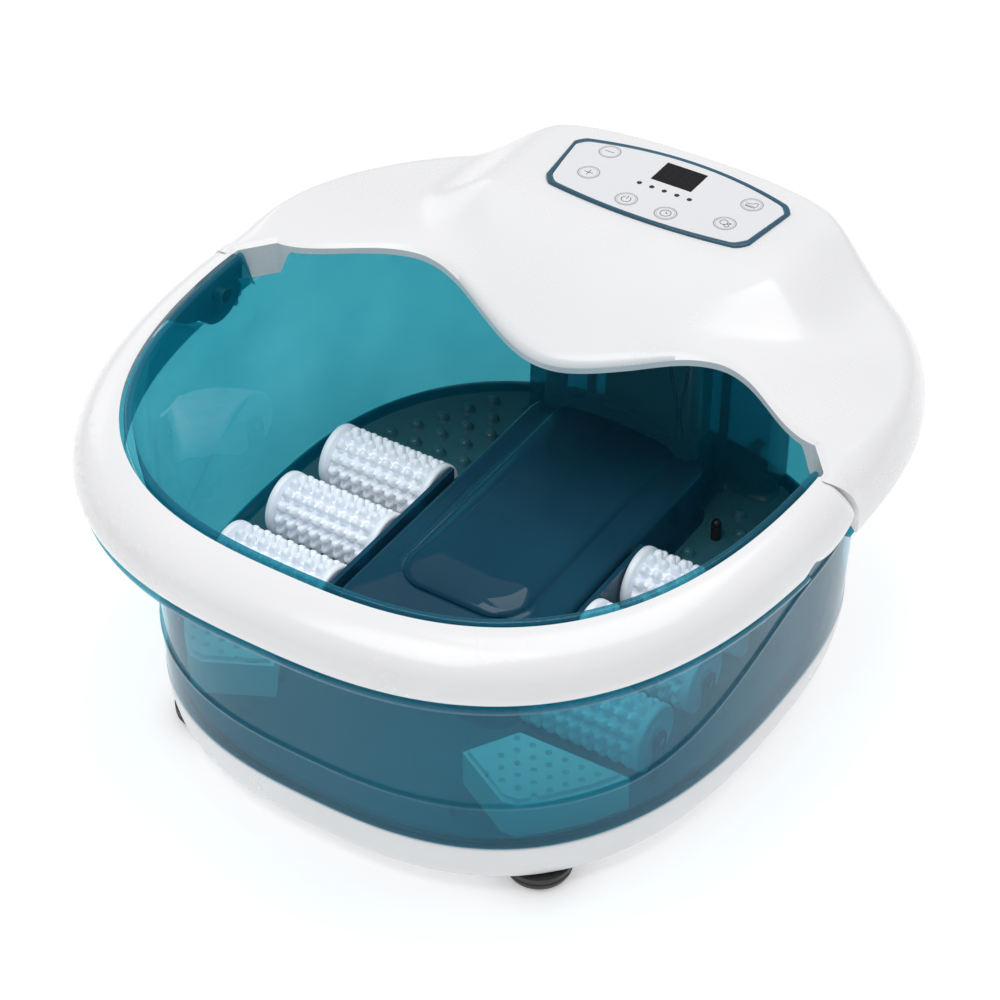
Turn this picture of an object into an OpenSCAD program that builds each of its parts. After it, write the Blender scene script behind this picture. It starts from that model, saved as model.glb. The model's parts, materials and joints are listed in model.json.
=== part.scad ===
// Foot spa basin: a translucent foot bath with a hood, a carry handle, massage rollers and a control panel.
// Frame: +Z up, +X right, +Y towards the control panel; the origin is on the floor under the middle of the basin.

/* [Basin] */
// Half width of the basin wall at its seam with the base
wall_w = 150.8; // [146:0.2:152]
// Reach of the basin wall forwards of its widest line
wall_front = 187.3; // [184:0.1:188]
// Reach of the basin wall backwards of its widest line
wall_back = 150; // [148:0.5:151]
// How far forward of the basin's widest line the wall bows in plan (superellipse power)
front_power = 2.64; // [2.5:0.02:2.7]
// Superellipse power of the back half
back_power = 2.4; // [2.3:0.02:2.5]
// Outward lean of the wall from the seam to the rim
wall_lean = 3; // [2:0.5:3]
// Wall thickness of the basin
skin = 3; // [2.5:0.1:3]
// Height of the basin lip inside the handle
lip_top = 175.3; // [174:0.1:175.5]

/* [Rim] */
// Half width of the rim at its fattest
rim_w = 179.2; // [178:0.1:180]
// Forward reach of the rim from the widest line
rim_front = 220.1; // [219:0.1:221]
// Backward reach of the rim from the widest line
rim_back = 173; // [172:0.5:174]
// Height of the fattest line of the rim
rim_z = 158; // [157:0.5:158]

/* [Handle] */
// Height of the handle's pivot axis
pivot_z = 160; // [159:0.5:161]
// Distance of the pivot axis behind the origin
pivot_y = -8; // [-9:0.5:-7]
// Radius of the round handle ends
pivot_r = 18.5; // [18:0.1:18.6]
// Radius of the pivot pins
pin_r = 4; // [3:0.1:4.5]

/* [Control panel] */
// Height of the panel face
panel_z = 190; // [190:0.5:191]
// Half width of the panel border along its back edge
panel_back_w = 61.6; // [58:0.1:62]
// Half width of the panel border along its front edge
panel_front_w = 57; // [54:0.1:58]
// Radius of a push button
button_r = 5.7; // [5:0.1:6]

/* [Rollers] */
// Radius over the massage pegs
roller_r = 17.5; // [16:0.1:18]
// Height of the roller axes
roller_z = 50; // [49.5:0.1:51]
// Spacing of the roller axes
roller_pitch = 46; // [42:0.5:47]
// Position of the middle roller axis
roller_mid_y = -15; // [-16:0.5:-14]
// Radius of the roller axles
axle_r = 2; // [1.5:0.1:2.5]

/* [Hidden] */

widest_y = 23.5;
steps = 72;
seam_z = 32.6;
floor_z = 31;
floor_under_z = 27;
brim_z = 149.5;
brim_under_z = 145;
lip_w = 159.2;
lip_front = 193.9;
lip_back = 156;
lip_thick = 3.5;
lip_end_y = 8;
run_clear = 0.06;
turn_gap = 1;
pin_end = 154.6;
pin_root = 172;
hood_skin = 2.6;
hood_foot_z = 149.7;
tongue_y = 32;
base_z = 9;
base_floor = 12;
base_top = 32.5;
column_x = 46;
column_y = 105;
bay_x = 73;
bay_y = 138;
hump_x = 52.5;
hump_front = -80;
dome_front = -48;
roller_in = 57.5;
roller_out = 122;
flange_w = 4.5;
ring_count = 8;
tooth_count = 12;
motor_y = 20;
motor_z = 40;
cord_x = 40;
cord_z = 18;
eps = 0.01;

teal = [0.13, 0.45, 0.5, 0.55];
white = [0.96, 0.96, 0.97];
grey_white = [0.84, 0.86, 0.9];
board_green = [0.1, 0.35, 0.2];
steel = [0.75, 0.76, 0.78];
black = [0.06, 0.06, 0.07];
ink_blue = [0.2, 0.4, 0.5];

// ---- plan outlines -------------------------------------------------------

function lerp(a, b, t) = a + (b - a) * t;
function smooth(t) = t <= 0 ? 0 : t >= 1 ? 1 : t * t * (3 - 2 * t);

// Distance from the plan centre to a superellipse whose half axes are w and d, in direction a
function reach(a, w, d, p) =
  pow(pow(abs(cos(a)) / w, p) + pow(abs(sin(a)) / d, p), -1 / p);

// A point of an egg outline: half width w, forward reach f and backward reach b
function egg(a, w, f, b, z) =
  let (r = sin(a) < 0 ? reach(a, w, f, front_power) : reach(a, w, b, back_power))
  [r * cos(a), widest_y + r * sin(a), z];

function egg_ring(w, f, b, z) = [for (i = [0:steps - 1]) egg(360 * i / steps, w, f, b, z)];
function egg_plan(w, f, b) = [for (p = egg_ring(w, f, b, 0)) [p.x, p.y]];

// The basin wall grown outwards by g
function wall_ring(g, z) = egg_ring(wall_w + g, wall_front + g, wall_back + g, z);
module wall_plan(g) {
  polygon(egg_plan(wall_w + g, wall_front + g, wall_back + g));
}

// ---- skins ---------------------------------------------------------------

// Triangles between rows a and b of n points; wrap joins the last point to the first
function band(a, b, n, wrap) = [
  for (i = [0:n - (wrap ? 1 : 2)])
    let (j = (i + 1) % n)
    each [[a + i, b + i, b + j], [a + i, b + j, a + j]]
];

// A closed solid from a stack of rings of equal length, with flat ends
module stack(rings) {
  n = len(rings[0]);
  k = len(rings);
  polyhedron(
    [for (r = rings) each r],
    concat(
      [for (j = [0:k - 2]) each band(j * n, (j + 1) * n, n, true)],
      [[for (i = [0:n - 1]) i]],
      [[for (i = [n - 1:-1:0]) (k - 1) * n + i]]
    ),
    convexity = 8
  );
}

// Triangles across a thin section of n points from a: the outer half is paired with the inner half
function strip(a, n) = [
  for (i = [0:n / 2 - 2])
    each [[a + i, a + i + 1, a + n - 1 - i], [a + i + 1, a + n - 2 - i, a + n - 1 - i]]
];

// A closed solid from thin sections that are loops of equal length, joined in order
module sweep(sections) {
  n = len(sections[0]);
  k = len(sections);
  polyhedron(
    [for (s = sections) each s],
    concat(
      [for (j = [0:k - 2]) each band(j * n, (j + 1) * n, n, true)],
      strip(0, n),
      [for (t = strip((k - 1) * n, n)) [t.x, t.z, t.y]]
    ),
    convexity = 8
  );
}

module rounded_square(x0, y0, x1, y1, r) {
  translate([x0 + r, y0]) square([x1 - x0 - 2 * r, y1 - y0]);
  translate([x0, y0 + r]) square([x1 - x0, y1 - y0 - 2 * r]);
  for (x = [x0 + r, x1 - r], y = [y0 + r, y1 - r])
    translate([x, y]) circle(r = r, $fn = 32);
}

// A block from corner to corner with round upright edges
module block(lo, hi, r) {
  translate([0, 0, lo.z])
    linear_extrude(hi.z - lo.z) rounded_square(lo.x, lo.y, hi.x, hi.y, r);
}

module rod_x(x0, x1, y, z, r) {
  translate([x0, y, z]) rotate([0, 90, 0]) cylinder(r = r, h = x1 - x0, $fn = 48);
}

module rod_z(x, y, z0, z1, r) {
  translate([x, y, z0]) cylinder(r = r, h = z1 - z0, $fn = 32);
}

module both_sides() {
  children();
  mirror([1, 0, 0]) children();
}

// ---- basin ---------------------------------------------------------------

function lip_height(p) = p.y < lip_end_y ? lip_top : brim_z + 2;
function lip_ring(g) = [
  for (p = egg_ring(lip_w + g, lip_front + g, lip_back + g, 0)) [p.x, p.y, lip_height(p)]
];

module tub_shell() {
  brim = [rim_w - 1.6, rim_front - 2.2, rim_back - 1.8];
  stack([
    wall_ring(-6, floor_under_z),
    wall_ring(-2, floor_under_z + 2),
    wall_ring(-2, seam_z - eps),
    wall_ring(0, seam_z),
    wall_ring(wall_lean, brim_under_z - 5),
    wall_ring(wall_lean + 4, brim_under_z - 1),
    egg_ring(brim.x - 2, brim.y - 2, brim.z - 2, brim_under_z),
    egg_ring(brim.x, brim.y, brim.z, brim_z - 1),
    egg_ring(brim.x - 1, brim.y - 1, brim.z - 1, brim_z),
    egg_ring(lip_w, lip_front, lip_back, brim_z),
    lip_ring(0),
    lip_ring(-lip_thick),
    wall_ring(wall_lean - skin, brim_under_z - 3),
    wall_ring(-skin, floor_z + 4),
    wall_ring(-skin - 4, floor_z)
  ]);
}

// The divider between the two foot wells, a plinth with a dome on it; g shrinks it for the hollow inside
module hump(g, foot_z) {
  hull() for (x = [-1, 1], y = [hump_front + 14, column_y]) {
    translate([x * (hump_x - 14), y, 51]) sphere(r = 14 - g, $fn = 28);
    translate([x * (hump_x - 13), y, foot_z]) cylinder(r = 14 - g, h = 2, $fn = 28);
  }
  hull() for (x = [-1, 1], y = [dome_front + 16, column_y])
    translate([x * 17, y, 57]) sphere(r = 16 - g, $fn = 28);
}

// The hollow column behind the divider that carries the air pump and the wiring
module column_plan(g) {
  rounded_square(-column_x + g, column_y + g, column_x - g, bay_y + 12, 5);
  rounded_square(-bay_x + g, bay_y + g, bay_x - g, 190, 5);
}

// The solid column: its back follows the leaning wall
module column_block() {
  intersection() {
    translate([0, 0, floor_z - 1]) linear_extrude(brim_z - floor_z - 1) column_plan(0);
    stack([
      wall_ring(-2.3, floor_z - 2),
      wall_ring(wall_lean - skin / 2, brim_under_z - 3),
      wall_ring(wall_lean + skin, brim_z)
    ]);
  }
}

module column_hollow() {
  translate([0, 0, floor_under_z - 1]) linear_extrude(brim_z - floor_under_z + 2) intersection() {
    column_plan(skin);
    wall_plan(-skin - 0.2);
  }
}

// Screw posts of the hood on the right-hand side: x, y and the height of the post
hood_bosses = [[160.5, 88, 169], [81, 171, 183.9]];
boss_spots = [[-110, -90], [110, -90], [-118, 60], [118, 60], [-58, 126], [58, 126]];

module foot_bumps() {
  for (i = [0:3], j = [0:3])
    if (i > 0 || j != 2)
      rod_z(68 + 18 * i, 62 + 15 * j + (i % 2) * 6, floor_z - 0.5, floor_z + 4, 3.2);
}

module tub() {
  color(teal) difference() {
    union() {
      difference() {
        union() {
          tub_shell();
          hump(0, floor_z - 2);
          column_block();
        }
        hump(skin, floor_under_z - 3);
        column_hollow();
      }
      intersection() {
        both_sides() foot_bumps();
        translate([0, 0, floor_z - 1]) linear_extrude(8) wall_plan(-skin - 6);
      }
      for (s = boss_spots)
        rod_z(s.x, s.y, base_floor + 0.5, floor_under_z + 1, 5);
      both_sides() rod_x(pin_end - 1.6, lip_w - 0.4, pivot_y, pivot_z, 7);
    }
    for (s = boss_spots)
      rod_z(s.x, s.y, base_floor, floor_under_z, 2);
    both_sides() rod_x(pin_end - 0.1, lip_w + 1, pivot_y, pivot_z, pin_r + run_clear);
    both_sides() rod_x(lip_w + 0.1, rim_w + 5, pivot_y, pivot_z, pivot_r + 0.7);
    both_sides() for (b = hood_bosses) {
      rod_z(b.x, b.y, brim_under_z - 4, brim_z + 1, 1.8);
      rod_z(b.x, b.y, brim_under_z - 6, brim_under_z, 3.5);
    }
  }
}

// ---- hood ----------------------------------------------------------------

// Plan position and height of the wavy front edge at distance x from the middle
function wave_y(x) =
  x < 82 ? lerp(tongue_y, 58, smooth(x / 82)) : lerp(58, 25.5, smooth((x - 82) / 66));
function wave_z(x) =
  x < 118 ? lerp(154, 171, smooth(x / 118)) : lerp(171, 157, smooth((x - 140) / 8));

// Height of the hood's face before its outer shoulder: console, sloping tongue and side crowns
function hood_z(x, y) =
  let (
    a = abs(x),
    slope = y > 112 ? panel_z - 1.2 : panel_z - 1.2 - 30 * pow((112 - y) / 80, 1.35),
    crown = lerp(176, 169, smooth((y - 30) / 120)),
    inner = lerp(40, 74, smooth((y - 60) / 50)),
    outer = lerp(108, 120, smooth((y - 60) / 50))
  )
  lerp(slope, crown, smooth((a - inner) / (outer - inner)));

function shoulder(q) = q >= 1 ? 1 : q <= 0 ? 0 : sqrt(1 - pow(1 - q, 2));

hood_rows = 66;
hood_a0 = -8;
tab_share = 0.05;

// Inner edge of the hood: up the lip's end, along the tab, then the wave
function hood_edge(u) =
  u > 0.5 ? let (p = hood_edge(1 - u)) [-p.x, p.y, p.z]
  : u < tab_share / 2 ? [160.4, lerp(-1, 10, u * 2 / tab_share), 157]
  : u < tab_share ? let (t = u * 2 / tab_share - 1) [lerp(160.4, 148, t), lerp(10, 25.5, t), 157]
  : let (x = 148 * cos(180 * (u - tab_share) / (1 - 2 * tab_share))) [x, wave_y(x), wave_z(x)];

function hood_rim(u) = egg(lerp(hood_a0, 180 - hood_a0, u), rim_w + 0.6, rim_front, rim_back, hood_foot_z);

// One row of the hood from the rim inwards; the loop goes out over the face and back under it
function hood_row(u) =
  let (
    rim = hood_rim(u),
    edge = hood_edge(u),
    span = norm([edge.x - rim.x, edge.y - rim.y]),
    dir = [edge.x - rim.x, edge.y - rim.y] / span,
    turn = min(lerp(11, 20, smooth((abs(rim.x) - 60) / 60)), span * 0.9),
    k = min(span / 40, 1),
    outs = concat(
      [for (s = [0, 0.35, 1.2, 3, 6, 10, 15]) s * k],
      [for (t = [0.25:0.125:1]) lerp(15 * k, span, t)]
    ),
    top = [for (s = outs)
      let (p = [rim.x, rim.y] + dir * s)
      [p.x, p.y, hood_foot_z + (hood_z(p.x, p.y) - hood_foot_z) * shoulder(s / turn)]],
    ins = [for (s = outs) lerp(hood_skin, span - hood_skin, s / span)],
    under = [for (i = [len(ins) - 1:-1:0])
      let (s = ins[i], p = [rim.x, rim.y] + dir * s)
      [p.x, p.y, hood_foot_z + (hood_z(p.x, p.y) - hood_skin - hood_foot_z)
        * shoulder((s - hood_skin) / (turn - hood_skin * 0.5))]]
  )
  concat(
    top,
    [[edge.x, edge.y, edge.z]],
    [[edge.x - dir.x * hood_skin, edge.y - dir.y * hood_skin, edge.z]],
    under
  );

// The panel outline: a wide shape whose front and back edges bow outwards
function arc_points(a, b, bow, n) = [
  for (i = [0:n - 1]) let (t = i / n)
    [lerp(a.x, b.x, t), lerp(a.y, b.y, t) + bow * 4 * t * (1 - t)]
];

module panel_plan(g) {
  fw = panel_front_w + g;
  bw = panel_back_w + g;
  fy = 123 - g;
  by = 169 + g;
  cut = 6;
  polygon(concat(
    arc_points([-fw + cut, fy], [fw - cut, fy], -4, 16),
    arc_points([fw - cut, fy], [fw, fy + cut], -1.2, 5),
    arc_points([fw + 0.4, fy + cut], [bw, by - cut], 0, 2),
    arc_points([bw, by - cut], [bw - cut, by], 1.2, 5),
    arc_points([bw - cut, by], [-bw + cut, by], 9, 16),
    arc_points([-bw + cut, by], [-bw, by - cut], 1.2, 5),
    arc_points([-bw, by - cut], [-fw - 0.4, fy + cut], 0, 2),
    arc_points([-fw, fy + cut], [-fw + cut, fy], -1.2, 5)
  ));
}

module hood() {
  color(white) difference() {
    union() {
      sweep([for (i = [hood_rows:-1:0]) hood_row(i / hood_rows)]);
      both_sides() for (b = hood_bosses)
        rod_z(b.x, b.y, hood_foot_z + 0.2, b.z, 3.8);
    }
    both_sides() for (b = hood_bosses)
      rod_z(b.x, b.y, hood_foot_z, hood_foot_z + 13, 1.5);
    both_sides() {
      rod_x(lip_w - 0.5, rim_w + 6, pivot_y, pivot_z, pivot_r + turn_gap);
      translate([lip_w - 0.5, pivot_y - 20, pivot_z]) cube([30, rim_z + band_h - pivot_z + 20.4, 30]);
    }
    translate([0, 0, panel_z - 2.4]) linear_extrude(6) panel_plan(0.15);
    translate([0, 0, panel_z - 8]) linear_extrude(8) panel_plan(-4);
    for (b = button_spots)
      rod_z(b.x, b.y, panel_z - 4.5, panel_z - 2, button_r + 0.3);
  }
}

// ---- handle --------------------------------------------------------------

band_w = 18.3;
band_h = 17.3;
band_skin = 2.6;

function handle_point(a, t, g) = let (c = (band_w - g) * cos(t))
  egg(a, rim_w - band_w + c, rim_front - 1.3 * band_w + 1.3 * c, rim_back, rim_z + (band_h - g) * sin(t));

function handle_section(a) = concat(
  [for (t = [90:-11:-20]) handle_point(a, t, 0)],
  [for (t = [-20:11:90]) handle_point(a, t, band_skin)]
);

// The band's section carried straight through the round end
module handle_end() {
  intersection() {
    rod_x(rim_w - band_w + 0.6, rim_w + 1, pivot_y, pivot_z, pivot_r);
    translate([0, pivot_y + 25, 0]) rotate([90, 0, 0]) linear_extrude(50) polygon(concat(
      [for (t = [90:-10:0]) [rim_w - band_w - 1 + band_w * cos(t), rim_z + (band_h - 0.7) * sin(t)]],
      [for (t = [-10:-10:-80]) [rim_w - band_w - 1 + band_w * cos(t), rim_z + (band_h + 3) * sin(t)]],
      [[rim_w - band_w - 1, rim_z - 22]]
    ));
  }
}

module handle() {
  end_a = atan2(pivot_y - widest_y, rim_w - 8);
  color(white) difference() {
    union() {
      sweep([for (i = [0:56]) handle_section(lerp(-180 - end_a, end_a, i / 56))]);
      both_sides() handle_end();
    }
    both_sides() rod_x(lip_w, pin_root, pivot_y, pivot_z, pin_r);
  }
}

module handle_pins() {
  color(steel) both_sides() rod_x(pin_end, pin_root, pivot_y, pivot_z, pin_r);
}

// ---- base ----------------------------------------------------------------

foot_spots = [[-95, -118], [95, -118], [-95, 120], [95, 120]];

module base_tray() {
  color(white) difference() {
    union() {
      stack([
        wall_ring(-8, base_z),
        wall_ring(-4.5, base_z + 1),
        wall_ring(-2.2, base_z + 4),
        wall_ring(-0.6, base_z + 11),
        wall_ring(0.4, base_top - 1),
        wall_ring(0, base_top),
        wall_ring(-1.5, base_top),
        wall_ring(-1.5, base_top - 4),
        wall_ring(-3, base_z + 12),
        wall_ring(-5, base_z + 5),
        wall_ring(-8, base_floor)
      ]);
      translate([0, 0, base_floor - 1]) linear_extrude(11.5) difference() {
        wall_plan(-4.5);
        wall_plan(-9);
      }
    }
    for (s = foot_spots)
      rod_z(s.x, s.y, base_z - 1, base_floor + 1, 5);
    for (s = boss_spots) {
      rod_z(s.x, s.y, base_z - 1, base_floor + 1, 2.3);
      rod_z(s.x, s.y, base_z - 1, base_z + 1.6, 4.4);
    }
    translate([cord_x, 150, cord_z]) rotate([-90, 0, 0]) cylinder(r = 4.4, h = 40, $fn = 32);
  }
}

module base_seal() {
  color(black) translate([0, 0, base_floor + 10.6]) linear_extrude(4.2) difference() {
    wall_plan(-6.4);
    wall_plan(-8.8);
  }
}

module rubber_feet() {
  color(black) for (s = foot_spots) translate([s.x, s.y, 0]) rotate_extrude($fn = 64)
    polygon([[0, 0], [10, 0], [13, 0.8], [15.2, 2.6], [16, 5], [16, base_z - eps], [5, base_z - eps],
      [5, base_floor + 1], [0, base_floor + 1]]);
}

// ---- control panel -------------------------------------------------------

// Centre of each button
button_spots = [[-41, 163.5], [-40.2, 141.5], [-12.2, 130.8], [10.4, 130.2], [42.3, 159.5], [39, 138]];

module panel_bezel() {
  color(ink_blue) translate([0, 0, panel_z - 2.3]) linear_extrude(2.6) difference() {
    panel_plan(0);
    panel_plan(-2.3);
  }
}

module panel_overlay() {
  color(white) translate([0, 0, panel_z - 2.3]) linear_extrude(2.3) difference() {
    panel_plan(-2.35);
    for (b = button_spots)
      translate(b) circle(r = button_r + 0.1, $fn = 48);
    translate([-11.5, 153.2]) square([23, 17.6]);
    for (i = [-2:2])
      translate([i * 7.1, 147]) circle(r = 1.35, $fn = 24);
  }
}

module display_window() {
  color(black) translate([-11.4, 153.3, panel_z - 2.3]) cube([22.8, 17.4, 2.35]);
}

module indicator_lights() {
  color(black) for (i = [-2:2])
    translate([i * 7.1, 147, panel_z - 2.3]) cylinder(r = 1.3, h = 2.4, $fn = 24);
}

// Button number n: a shallow disc that sinks into the overlay
module button(n) {
  color(white) translate([button_spots[n].x, button_spots[n].y, panel_z - 1.9]) {
    cylinder(r = button_r, h = 2, $fn = 48);
  }
}

module control_board() {
  color(board_green) {
    block([-50, 128, panel_z - 7.4], [50, 168, panel_z - 5.8], 3);
    for (b = button_spots)
      translate([b.x, b.y, panel_z - 5.8]) cylinder(r = 2.5, h = 2.6, $fn = 24);
    block([-16, 150, panel_z - 5.8], [16, 167, panel_z - 2.6], 1);
    block([-18, 144.5, panel_z - 5.8], [18, 149, panel_z - 2.6], 1);
  }
}

// ---- rollers -------------------------------------------------------------

// Roller axis along X, measured from the outside flange inwards
module roller_body() {
  long = roller_out - roller_in;
  pitch = (long - 2 * flange_w) / ring_count;
  difference() {
    union() {
      cylinder(r = 11.5, h = long, $fn = 48);
      cylinder(r = roller_r - 0.8, h = flange_w, $fn = 64);
      translate([0, 0, long - flange_w]) cylinder(r = roller_r - 0.8, h = flange_w, $fn = 64);
      for (i = [0:ring_count - 1])
        translate([0, 0, flange_w + pitch * (i + 0.22)]) rotate(i % 2 * 180 / tooth_count)
          linear_extrude(pitch * 0.56) for (k = [0:tooth_count / 2 - 1])
            rotate(k * 360 / tooth_count) square([2 * roller_r, 4.4], center = true);
    }
    translate([0, 0, -1]) cylinder(r = axle_r + run_clear, h = long + 2, $fn = 48);
  }
}

// side is -1 on the left and 1 on the right; place is -1 in front and 1 at the back
module roller(side, place) {
  color(grey_white) translate([side * roller_in, roller_mid_y + place * roller_pitch, roller_z])
    rotate([0, side * 90, 0]) roller_body();
}

module roller_axles() {
  color(steel) both_sides() for (k = [-1:1])
    rod_x(roller_in - 3.2, roller_out + 3.2, roller_mid_y + k * roller_pitch, roller_z, axle_r);
}

// A tall rail beside the divider and a low one outside, with an upright for each axle, tied under the rollers
module roller_cradle() {
  y0 = roller_mid_y - roller_pitch - 8;
  y1 = roller_mid_y + roller_pitch + 8;
  difference() {
    union() {
      translate([roller_in - 3.2, y0, floor_z + 0.1]) cube([2.6, y1 - y0, 33]);
      translate([roller_out + 0.6, y0, floor_z + 0.1]) cube([2.6, y1 - y0, 6]);
      for (k = [-1:1])
        translate([roller_out + 0.6, roller_mid_y + k * roller_pitch - 4, floor_z + 0.1])
          cube([2.6, 8, roller_z - floor_z + 3]);
      for (k = [-1, 1])
        translate([roller_in - 3.2, roller_mid_y + k * (roller_pitch + 6) - 2, floor_z + 0.1])
          cube([roller_out - roller_in + 6.4, 4, 1]);
    }
    for (k = [-1:1])
      rod_x(roller_in - 5, roller_out + 5, roller_mid_y + k * roller_pitch, roller_z, axle_r);
  }
}

// ---- infusion boxes ------------------------------------------------------

box_corners = [[68, -92], [125, -90], [114.5, -107], [103, -121], [92, -132], [84, -133], [53, -117]];

module infusion_box() {
  difference() {
    translate([0, 0, floor_z + 0.1]) linear_extrude(20) polygon(box_corners);
    translate([7.6, -11.2, floor_z + 2]) linear_extrude(30)
      scale(0.9) polygon(box_corners);
  }
}

module infusion_lid() {
  difference() {
    translate([0, 0, floor_z + 20.2]) linear_extrude(2.4) offset(delta = -2) polygon(box_corners);
    for (i = [0:5], j = [0:4]) {
      x = 70 + 8.6 * i + (j % 2) * 4.3;
      y = -98 - 6.6 * j;
      if (x < 116 + (y + 98) * 0.75 && x > 62)
        rod_z(x, y, floor_z + 19, floor_z + 24, 1.7);
    }
  }
}

// ---- works inside --------------------------------------------------------

module heater_plate() {
  color(steel) {
    block([-95, -70, floor_under_z - 3], [-60, 60, floor_under_z - 0.1], 8);
    block([60, -70, floor_under_z - 3], [95, 60, floor_under_z - 0.1], 8);
    block([-61, -72, floor_under_z - 6], [61, -60, floor_under_z - 2.9], 3);
  }
}

module air_pump() {
  color(grey_white) {
    block([-30, 143.5, 42], [26, 165, 100], 5);
    rod_z(-14, 154, 100, 108, 4);
    rod_z(10, 154, 100, 108, 4);
  }
}

module air_hose() {
  color(grey_white) for (x = [-40, 40]) {
    rod_z(x, 150, 24, 112, 2.5);
    translate([x, 150, 112]) sphere(r = 2.5, $fn = 24);
  }
}

module vibration_motor() {
  color(steel) {
    translate([0, motor_y, motor_z]) rotate([-90, 0, 0]) cylinder(r = 16, h = 42, $fn = 64);
    translate([0, motor_y - 14, motor_z]) rotate([-90, 0, 0]) cylinder(r = 2, h = 15, $fn = 32);
  }
}

module vibration_weight() {
  color(steel) difference() {
    translate([0, motor_y - 11, motor_z]) rotate([-90, 0, 0]) linear_extrude(9) difference() {
      circle(r = 13, $fn = 64);
      translate([-20, 4]) square([40, 30]);
    }
    translate([0, motor_y - 12, motor_z]) rotate([-90, 0, 0]) cylinder(r = 2 + run_clear, h = 12, $fn = 32);
  }
}

module motor_bracket() {
  color(steel) difference() {
    union() {
      block([-24, motor_y + 4, base_floor + 0.1], [24, motor_y + 38, base_floor + 3], 3);
      block([-19, motor_y + 6, base_floor + 2], [19, motor_y + 12, motor_z + 2], 2);
      block([-19, motor_y + 30, base_floor + 2], [19, motor_y + 36, motor_z + 2], 2);
    }
    translate([0, motor_y, motor_z]) rotate([-90, 0, 0]) cylinder(r = 16, h = 60, $fn = 64);
  }
}

module power_board() {
  color(board_green) {
    block([-30, -62, base_floor + 4], [30, -8, base_floor + 5.6], 3);
    block([-22, -55, base_floor + 5.6], [-2, -35, base_floor + 30], 2);
    for (x = [6, 18])
      rod_z(x, -45, base_floor + 5.6, base_floor + 24, 5);
    block([2, -34, base_floor + 5.6], [22, -14, base_floor + 18], 2);
    for (x = [-26, 26], y = [-58, -12])
      rod_z(x, y, base_floor + 0.1, base_floor + 4.5, 3);
  }
}

module wiring_harness() {
  color(black) for (x = [30, 35]) {
    rod_z(x, 119, 16, panel_z - 12, 1.1);
    translate([x, 119, 16]) sphere(r = 1.1, $fn = 24);
    translate([x, 10, 16]) rotate([-90, 0, 0]) cylinder(r = 1.1, h = 109, $fn = 24);
  }
}

module temperature_sensor() {
  color(black) {
    rod_z(65.5, 98, floor_z + 0.1, floor_z + 9.5, 2.7);
    translate([65.5, 98, floor_z + 9.5]) sphere(r = 2.7, $fn = 32);
  }
}

module power_cord() {
  color(black) translate([cord_x, 110, cord_z]) rotate([-90, 0, 0]) cylinder(r = 3.2, h = 84, $fn = 32);
}

module cord_grommet() {
  color(black) translate([cord_x, 0, cord_z]) rotate([-90, 0, 0]) difference() {
    union() {
      translate([0, 0, 157]) cylinder(r = 4.4, h = 15.5, $fn = 32);
      translate([0, 0, 172.4]) cylinder(r = 6.5, h = 3, $fn = 32);
      translate([0, 0, 175.3]) cylinder(r = 4.2, h = 12, $fn = 32);
    }
    translate([0, 0, 150]) cylinder(r = 3.2, h = 50, $fn = 32);
  }
}

module hood_screws() {
  color(steel) both_sides() for (b = hood_bosses) {
    rod_z(b.x, b.y, brim_under_z - 2, hood_foot_z + 12, 1.5);
    rod_z(b.x, b.y, brim_under_z - 2.4, brim_under_z - 0.1, 3.2);
  }
}

module base_screws() {
  color(steel) for (s = boss_spots) {
    rod_z(s.x, s.y, base_z + 1, floor_under_z - 3, 2);
    rod_z(s.x, s.y, base_z + 0.2, base_z + 1.6, 4);
  }
}

tub();
hood();
handle();
handle_pins();
base_tray();
base_seal();
rubber_feet();
panel_bezel();
panel_overlay();
display_window();
indicator_lights();
button(0);  // button_minus
button(1);  // button_plus
button(2);  // button_power
button(3);  // button_timer
button(4);  // button_heat
button(5);  // button_bubble
control_board();
roller(-1, 1);  // roller_left_back
roller(-1, 0);  // roller_left_middle
roller(-1, -1);  // roller_left_front
roller(1, 1);  // roller_right_back
roller(1, 0);  // roller_right_middle
roller(1, -1);  // roller_right_front
roller_axles();
color(teal) mirror([1, 0, 0]) roller_cradle();  // roller_cradle_left
color(teal) roller_cradle();  // roller_cradle_right
color(white) mirror([1, 0, 0]) infusion_box();  // infusion_box_left
color(white) infusion_box();  // infusion_box_right
color(white) mirror([1, 0, 0]) infusion_lid();  // infusion_lid_left
color(white) infusion_lid();  // infusion_lid_right
heater_plate();
air_pump();
air_hose();
vibration_motor();
vibration_weight();
motor_bracket();
power_board();
wiring_harness();
temperature_sensor();
power_cord();
cord_grommet();
hood_screws();
base_screws();
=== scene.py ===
import json

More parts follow.
